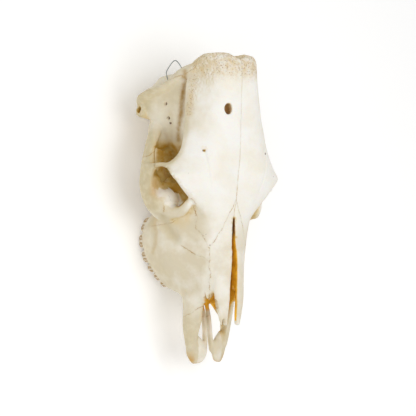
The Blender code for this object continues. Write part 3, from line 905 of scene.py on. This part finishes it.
# Tones that drift from one colour to another over one of those lumps, between two of its levels.
BONE_TONES = {
    "chalk": ("cloud", 0.40, 0.64, "#F8F6F0", "#F4EFE2"),
    "ivory": ("cloud", 0.38, 0.58, "#F4EFE2", "#DFD4BA"),
    # The tan tone is partly stain and partly painted side shade.
    "tan": ("patch", 0.36, 0.62, "#DCD0B0", "#CDBE96"),
    # The olive tone is painted deep shade.
    "olive": ("patch", 0.38, 0.60, "#C6AC66", "#B98E2C"),
    # The amber tone is a painted glow of light through thin bone.
    "amber": ("patch", 0.40, 0.65, "#FFC834", "#E0A41C"),
}

# What add_fields keeps on the bone's points.
BONE_FIELDS = (
    "tan", "painted_top_light", "occlusion_shade", "deep", "cheek", "dip_shade", "groove", "poll", "muzzle", "inside", "dark_inside",
    "pit", "seam",
)


def bleached_bone():
    """Cattle bone, boiled, bleached and dried, then handled and dusted for years.

    The open faces are chalk white going to ivory, and faces turned up are painted whiter: painted top light.
    The sides are tan, partly from handling and fat and partly as painted side shade. Hollows, the cheek's
    hollows and the furrow under the crest get painted shade, tan and in deep hollows ochre and olive, and the
    foramina are painted dark. Inside the nose and sinuses the thin bone is painted a glowing amber, a painted
    glow, with painted shade further in. Sutures hold brown dirt, and the poll is rough and stained.
    """
    made, tree, surface, where = new_material("bleached_bone")
    kept = {
        name: add_node(tree, "ShaderNodeAttribute", out="Fac", attribute_name=name) for name in BONE_FIELDS
    }
    lumps = {}
    for name, (size_mm, detail, rough, squeeze) in BONE_LUMPS.items():
        spread = add_node(tree, "ShaderNodeMapping", {"Vector": where, "Scale": (1, squeeze, 1)})
        lumps[name] = add_node(
            tree, "ShaderNodeTexNoise",
            {"Vector": spread, "Scale": 1000 / size_mm, "Detail": detail, "Roughness": rough}, "Fac",
        )
    tones = {}
    for name, (lump, low, high, first, second) in BONE_TONES.items():
        share = add_node(tree, "ShaderNodeValToRGB", {0: lumps[lump]}, stops=((low, 0), (high, 1)))
        colours = {0: share, 6: srgb(first), 7: srgb(second)}
        tones[name] = add_node(tree, "ShaderNodeMix", colours, 2, data_type="RGBA")

    uneven, jitter = (
        add_node(tree, "ShaderNodeMath", {0: lumps[name], 1: size, 2: -size / 2}, operation="MULTIPLY_ADD")
        for name, size in (("patch", 0.5), ("grain", 0.9))
    )
    # Painted shade: the occlusion, made a little uneven.
    shade = {0: uneven, 1: 0.3, 2: kept["occlusion_shade"]}
    shade = add_node(tree, "ShaderNodeMath", shade, operation="MULTIPLY_ADD")
    seam = add_node(tree, "ShaderNodeMath", {0: kept["seam"], 1: jitter}, operation="ADD")
    near, nearer = (
        add_node(tree, "ShaderNodeMath", {0: seam, 1: reach_mm}, operation="DIVIDE") for reach_mm in (12, 4)
    )
    # Painted top light, made a little uneven.
    painted_top_light = add_node(tree, "ShaderNodeMath", {0: kept["painted_top_light"], 1: uneven}, operation="ADD", use_clamp=True)

    ramps = {
        name: add_node(tree, "ShaderNodeValToRGB", {0: source}, stops=stops)
        for name, source, *stops in (
            # These two ramps turn the painted shade into the shade colours of hollows.
            ("hollow", shade, (0.05, 0), (0.24, 0.8)),
            ("deep_hollow", shade, (0.22, 0), (0.46, 0.9)),
            # Breaks up the groove's painted shade.
            ("groove", lumps["patch"], (0.32, 0.45), (0.60, 0.95)),
            ("stain", lumps["blotch"], (0.38, 0.15), (0.62, 0.8)),
            ("pores", lumps["pore"], (0.58, 0), (0.68, 0.7)),
            ("grease", lumps["patch"], (0.36, 0.35), (0.60, 0.95)),
            ("broken", lumps["break"], (0.42, 0.05), (0.62, 1)),
            ("halo", near, (0.02, 0.3), (0.22, 0)),
            ("line", nearer, (0.06, 0.85), (0.16, 0)),
            ("specks", lumps["speck"], (0.70, 0), (0.76, 0.5)),
            ("roughness", lumps["patch"], (0.30, 0.5), (0.70, 0.68)),
        )
    }
    shares = {
        name: add_node(tree, "ShaderNodeMath", {0: first, 1: second}, operation="MULTIPLY")
        for name, first, second in (
            ("cheek", kept["cheek"], 0.6),
            ("dip_shade", kept["dip_shade"], 0.5),
            ("groove", kept["groove"], ramps["groove"]),
            ("stain", kept["poll"], ramps["stain"]),
            ("pores", kept["poll"], ramps["pores"]),
            ("grease", kept["muzzle"], ramps["grease"]),
            ("pit", kept["pit"], 0.95),
            ("halo", ramps["halo"], ramps["broken"]),
            ("line", ramps["line"], ramps["broken"]),
        )
    }
    # Painted shade darkens the painted glow further in.
    shaded_amber = {0: kept["dark_inside"], 6: tones["amber"], 7: srgb("#8A5A2C")}
    amber = add_node(tree, "ShaderNodeMix", shaded_amber, 2, data_type="RGBA")

    colour = tones["ivory"]
    for share, tone in (
        # Tan: partly stain, partly painted side shade on what does not face up.
        (kept["tan"], tones["tan"]),
        # Painted top light: faces turned up go chalk white.
        (painted_top_light, tones["chalk"]),
        # Painted shade in hollows: tan, and ochre in the deep ones.
        (ramps["hollow"], srgb("#E2CD9B")),
        (ramps["deep_hollow"], srgb("#C0963C")),
        # Painted deep shade: olive in the deepest hollows.
        (kept["deep"], tones["olive"]),
        # Painted shade in the cheek's hollow, its dip and the crest's groove.
        (shares["cheek"], srgb("#CFA868")),
        (shares["dip_shade"], srgb("#BFAE82")),
        (shares["groove"], srgb("#AC8640")),
        (shares["stain"], srgb("#DCC495")),
        (shares["pores"], srgb("#A8824A")),
        (shares["grease"], srgb("#CFA45C")),
        # Painted glow inside the nose and the forehead's hole.
        (kept["inside"], amber),
        # Painted shade down in the foramina.
        (shares["pit"], srgb("#5E3610")),
        (shares["halo"], srgb("#DDC592")),
        (shares["line"], srgb("#B48A4A")),
        (ramps["specks"], srgb("#C4A978")),
    ):
        colour = add_node(tree, "ShaderNodeMix", {0: share, 6: colour, 7: tone}, 2, data_type="RGBA")

    pit_height = add_node(tree, "ShaderNodeMath", {0: shares["pores"], 1: -1}, operation="MULTIPLY")
    relief = {}
    for height, strength, depth_mm in (
        (lumps["patch"], 0.35, 1.2), (lumps["fibre"], 0.3, 0.4), (pit_height, 0.7, 0.8),
    ):
        bump = {"Height": height, "Strength": strength, "Distance": depth_mm * MM, **relief}
        relief = {"Normal": add_node(tree, "ShaderNodeBump", bump)}
    feed(tree, surface, {
        "Base Color": colour,
        "Roughness": ramps["roughness"],
        "IOR": 1.54,
        "Specular IOR Level": 0.35,
        "Subsurface Weight": 0.12,
        "Subsurface Radius": (0.004, 0.0025, 0.0012),
        "Subsurface Scale": 1.0,
        **relief,
    })
    return made


def worn_enamel():
    """Cattle tooth: hard white enamel ribs, tan dentine where they are worn through, brown tartar between."""
    made, tree, surface, where = new_material("worn_enamel")
    tartar, dentine, pit = (
        add_node(tree, "ShaderNodeAttribute", out="Fac", attribute_name=name)
        for name in ("tartar", "dentine", "pit")
    )
    lumps = []
    for size_mm, detail, squeeze in ((4, 4, 1), (1.6, 3, 0.25)):
        spread = add_node(tree, "ShaderNodeMapping", {"Vector": where, "Scale": (1, 1, squeeze)})
        lumps.append(add_node(
            tree, "ShaderNodeTexNoise",
            {"Vector": spread, "Scale": 1000 / size_mm, "Detail": detail, "Roughness": 0.6}, "Fac",
        ))
    patch, streak = lumps
    caked = add_node(tree, "ShaderNodeValToRGB", {0: patch}, stops=((0.3, 0.4), (0.55, 1)))
    tartar = add_node(tree, "ShaderNodeMath", {0: tartar, 1: caked}, operation="MULTIPLY")
    streaked = add_node(tree, "ShaderNodeValToRGB", {0: streak}, stops=((0.4, 0), (0.65, 0.7)))
    colour = srgb("#F8F5EA")
    for share, tone in ((streaked, "#E2CB96"), (tartar, "#A8803A"), (dentine, "#C89A48"), (pit, "#4A3018")):
        colour = add_node(tree, "ShaderNodeMix", {0: share, 6: colour, 7: srgb(tone)}, 2, data_type="RGBA")
    feed(tree, surface, {
        "Base Color": colour,
        "Roughness": 0.32,
        "IOR": 1.62,
        "Normal": add_node(tree, "ShaderNodeBump", {"Height": streak, "Strength": 0.4, "Distance": 0.5 * MM}),
    })
    return made


def galvanised_wire():
    """Soft iron picture wire with a dull zinc coat: grey, with brighter rubbed spots."""
    made, tree, surface, where = new_material("galvanised_wire")
    spots = {"Vector": where, "Scale": 1000 / 2.5, "Detail": 3, "Roughness": 0.55}
    rubbed = add_node(tree, "ShaderNodeTexNoise", spots, "Fac")
    zinc = {0: rubbed, 6: srgb("#8D9391"), 7: srgb("#B9BEBB")}
    feed(tree, surface, {
        "Base Color": add_node(tree, "ShaderNodeMix", zinc, 2, data_type="RGBA"),
        "Roughness": add_node(tree, "ShaderNodeValToRGB", {0: rubbed}, stops=((0.35, 0.28), (0.65, 0.5))),
        "Metallic": 1.0,
    })
    return made


def white_paper():
    """Uncoated white backdrop paper, matt, with a faint tooth. It gives back a little light of its own."""
    made, tree, surface, where = new_material("white_paper")
    lumps = {"Vector": where, "Scale": 1000 / 3, "Detail": 2, "Roughness": 0.55}
    lumps = add_node(tree, "ShaderNodeTexNoise", lumps, "Fac")
    paper = {0: lumps, 6: srgb("#FFFFFF"), 7: srgb("#FCFCFB")}
    feed(tree, surface, {
        "Base Color": add_node(tree, "ShaderNodeMix", paper, 2, data_type="RGBA"),
        "Roughness": 0.9,
        "Emission Color": (1, 1, 1, 1),
        "Emission Strength": 0.15,
    })
    return made


def tooth_row_point(along):
    """The row's centre (x, s) and its direction, this far back from its front."""
    points = spline(TOOTH_ROW, 8)
    steps = np.linalg.norm(np.diff(points, axis=0), axis=1)
    reach = np.concatenate([[0], np.cumsum(steps)])
    centre = np.array([np.interp(along, reach, points[:, k]) for k in (0, 1)])
    ahead = np.array([np.interp(along + 1, reach, points[:, k]) for k in (0, 1)])
    return centre, (ahead - centre) / np.linalg.norm(ahead - centre)


def tooth_outline(lobes, long, wide):
    """The crown's outline: how far along and across the row, and how much tartar clings there.

    Ribs stand out on the cheek's side. Tartar fills between them, in the cleft inside and at both ends.
    """
    outline = []
    for k in range(TOOTH_AROUND):
        turn = 2 * math.pi * k / TOOTH_AROUND
        u = math.copysign(abs(math.cos(turn)) ** 0.62, math.cos(turn))
        v = math.copysign(abs(math.sin(turn)) ** 0.62, math.sin(turn))
        if v > 0:
            rib = sum(math.exp(-(((u - at) / 0.13) ** 2)) for at in RIBS[lobes])
            rib += 0.45 * sum(math.exp(-(((u - at) / 0.12) ** 2)) for at in LOBES[lobes])
            v *= 0.93 + 0.19 * rib
            tartar = 1 - min(1, rib)
        else:
            cleft = math.exp(-((u / 0.14) ** 2)) if lobes == 2 else 0
            v *= 1 - 0.3 * cleft
            tartar = cleft
        outline.append((u * long, v * wide, 1.0 if abs(u) > 0.96 else tartar))
    return outline


def worn_face(u, v, lobes):
    """Height of the worn face above its plane, and how much dentine and pit show.

    u and v run from -1 to 1, along the tooth and across it.
    """
    cusp = min(abs(u - at) for at in LOBES[lobes]) / (0.5 if lobes == 2 else 0.9)
    height = 2.4 * min(1, cusp) ** 1.5 * (0.5 + 0.5 * v)
    soft = hole = 0.0
    for at in LOBES[lobes]:
        du, dv = (u - at) / (0.40 if lobes == 2 else 0.72), (v + 0.12) / 0.62
        ring = math.hypot(du, dv)
        crescent = math.hypot(du * 1.5, (dv - 0.18 + 0.55 * du * du) * 3.2)
        if crescent < 1:
            hole = max(hole, 1 - crescent**2)
        if 0.45 < ring < 1.05:
            soft = max(soft, 1 - abs(ring - 0.78) / 0.3)
    return height + soft + 4.5 * hole, min(1, soft), min(1, 2 * hole)


def tooth(name, side, start, length, width, front_z, back_z, lobes):
    """A cheek tooth with its outer ribs, inner lobes, worn cusps and a crescent pit in each lobe."""
    centre, way = tooth_row_point(start + length / 2)
    out = np.array([way[1], -way[0]])
    long, wide = length / 2 - 0.35, width / 2
    outline = tooth_outline(lobes, long, wide)
    rings = []
    fields = {"tartar": [], "dentine": [], "pit": []}

    def slope(u):
        """Height of the worn face's plane, which runs down or up along the row."""
        return max(FLOOR, front_z + (back_z - front_z) * (u / length + 0.5))

    def add_point(u, v, z, *values):
        x, s = centre + way * u + out * v
        rings[-1].append((side * x, s, z))
        for kept, value in zip(fields.values(), values):
            kept.append(value)

    for level, swell in CROWN:
        rings.append([])
        neck = max(0, 1 - abs(level - 0.45) / 0.3)
        for u, v, tartar in outline:
            tip = slope(u) + worn_face(u / long, v / wide, lobes)[0]
            z = ROOT_Z + (tip - ROOT_Z) * level
            add_point(u * swell, v * swell, z, min(1, tartar + 0.25 * neck), 0.0, 0.0)
    for k in range(1, TOOTH_RINGS):
        rings.append([])
        shrink = CROWN[-1][1] * (1 - k / TOOTH_RINGS)
        for u, v, _ in outline:
            u, v = u * shrink, v * shrink
            rise, soft, hole = worn_face(u / long, v / wide, lobes)
            add_point(u, v, slope(u) + rise, 0.0, soft, hole)
    made = skin(name, rings)
    for field_name, values in fields.items():
        made.data.attributes.new(field_name, "FLOAT", "POINT").data.foreach_set("value", values)
    made.data.shade_smooth()
    return made


def declare(piece, node, material):
    """Gives the piece its material, hangs it on the root body and hides the solid of the node it stands for.
    """
    piece.data.materials.clear()
    piece.data.materials.append(material)
    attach(piece, "root")
    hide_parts(node)
    return piece


def make_bones(bone):
    """The skull is built whole, hollowed and weathered, then parted along its sutures and coloured."""
    skull = fused("skull", body_pieces(), PITCH)
    hollows = fused("hollows", hollow_pieces(), PITCH)
    combine(skull, hollows, "DIFFERENCE")
    bpy.data.objects.remove(hollows)
    rounds = round(10 * (2.4 / PITCH) ** 2)
    skull = fused("skull", [smooth(skull, rounds // 3), *tear_bullae()], PITCH)
    keep_largest(smooth(skull, rounds - rounds // 3))
    weather(skull)
    below = block("below", (0, MIDDLE, FLOOR - 20), (400, 800, 40))
    combine(skull, below, "DIFFERENCE")
    bpy.data.objects.remove(below)
    keep_largest(skull)
    sleeve = wire_loop("sleeve", WIRE_RADIUS + GAP)
    combine(skull, sleeve, "DIFFERENCE")
    bpy.data.objects.remove(sleeve)
    lookup, values = occlusion_shade(skull)
    bones = []
    for label, side in SIDES.items():
        for cut in ("nasal", "incisive", "lacrimal", "cheekbone", "frontal", "maxilla"):
            bones.append((part_off(skull, f"{cut}_bone_{label}", cut, side), f"{cut}_{label}", cut))
    for cut in ("palatine", "occipital"):
        bones.append((part_off(skull, f"{cut}_bone", cut, 1), cut, cut))
    skull.name = "brain_case_bone"
    bones.append((skull, "brain_case", "brain_case"))
    for piece, node, kind in bones:
        add_fields(piece, SUTURES[kind], kind in ("nasal", "frontal", "incisive", "maxilla"), lookup, values)
        declare(piece, node, bone)


def make_teeth(enamel):
    """Six cheek teeth a side, each a piece of its own on the maxilla that it grows from."""
    for label, side in SIDES.items():
        start = 0
        for kind, (length, width, front_z, back_z, lobes) in zip(TOOTH_NAMES, TEETH):
            piece = tooth(f"{kind}_{label}", side, start, length, width, front_z, back_z, lobes)
            declare(piece, f"maxilla_{label}", enamel)
            start += length


def wire_loop(name, radius):
    """The hanging wire: one bend of it stands up behind the crest, and both ends are set in the bone."""
    return bar(name, [(*point, radius, radius) for point in WIRE_PATH], around=16)


def area_light(name, place_at, aim, size, power, colour=(1, 1, 1)):
    lamp = bpy.data.lights.new(name, "AREA")
    lamp.size = size
    lamp.energy = power
    lamp.color = colour
    made = bpy.data.objects.new(name, lamp)
    bpy.context.scene.collection.objects.link(made)
    made.location = place_at
    made.rotation_euler = (Vector(aim) - Vector(place_at)).to_track_quat("-Z", "Y").to_euler()


def make_studio():
    """A pale floor, one large soft light overhead, a weak fill on the right and an even pale surround."""
    mesh = bpy.data.meshes.new("floor")
    mesh.from_pydata([(-6, -6, 0), (6, -6, 0), (6, 6, 0), (-6, 6, 0)], [], [(0, 1, 2, 3)])
    floor = link("floor", mesh)
    floor.data.materials.append(white_paper())
    area_light("key", (0.05, -0.1, 1.95), (0, 0, 0.1), 1.3, 13, (1.0, 0.99, 0.975))
    area_light("fill", (-1.25, -0.3, 1.6), (0, 0, 0.1), 0.9, 4.5, (1.0, 0.99, 0.975))
    world = bpy.data.worlds.new("surround")
    world.use_nodes = True
    feed(world.node_tree, world.node_tree.nodes["Background"], {"Color": (1, 1, 1, 1), "Strength": 0.56})
    bpy.context.scene.world = world
    bpy.context.scene.view_settings.view_transform = "Standard"


def make_camera():
    """Looks down on the right side of the forehead, with the poll at the top of the picture."""
    lens = bpy.data.cameras.new("camera")
    lens.sensor_width = 36
    lens.lens = 111.8
    made = bpy.data.objects.new("camera", lens)
    bpy.context.scene.collection.objects.link(made)
    right = Vector((0.7892, -0.0509, 0.6120))
    up = Vector((-0.0148, 0.9947, 0.1018))
    back = Vector((-0.6139, -0.0894, 0.7843))
    turn = Matrix((right, up, back)).transposed().to_4x4()
    made.matrix_world = Matrix.Translation((-1.3096, -0.1841, 1.7651)) @ turn
    bpy.context.scene.camera = made


make_camera()
make_studio()
make_bones(bleached_bone())
make_teeth(worn_enamel())
hanging_wire = wire_loop("hanging_wire_loop", WIRE_RADIUS)
hanging_wire.data.shade_smooth()
declare(hanging_wire, "hanging_wire", galvanised_wire())
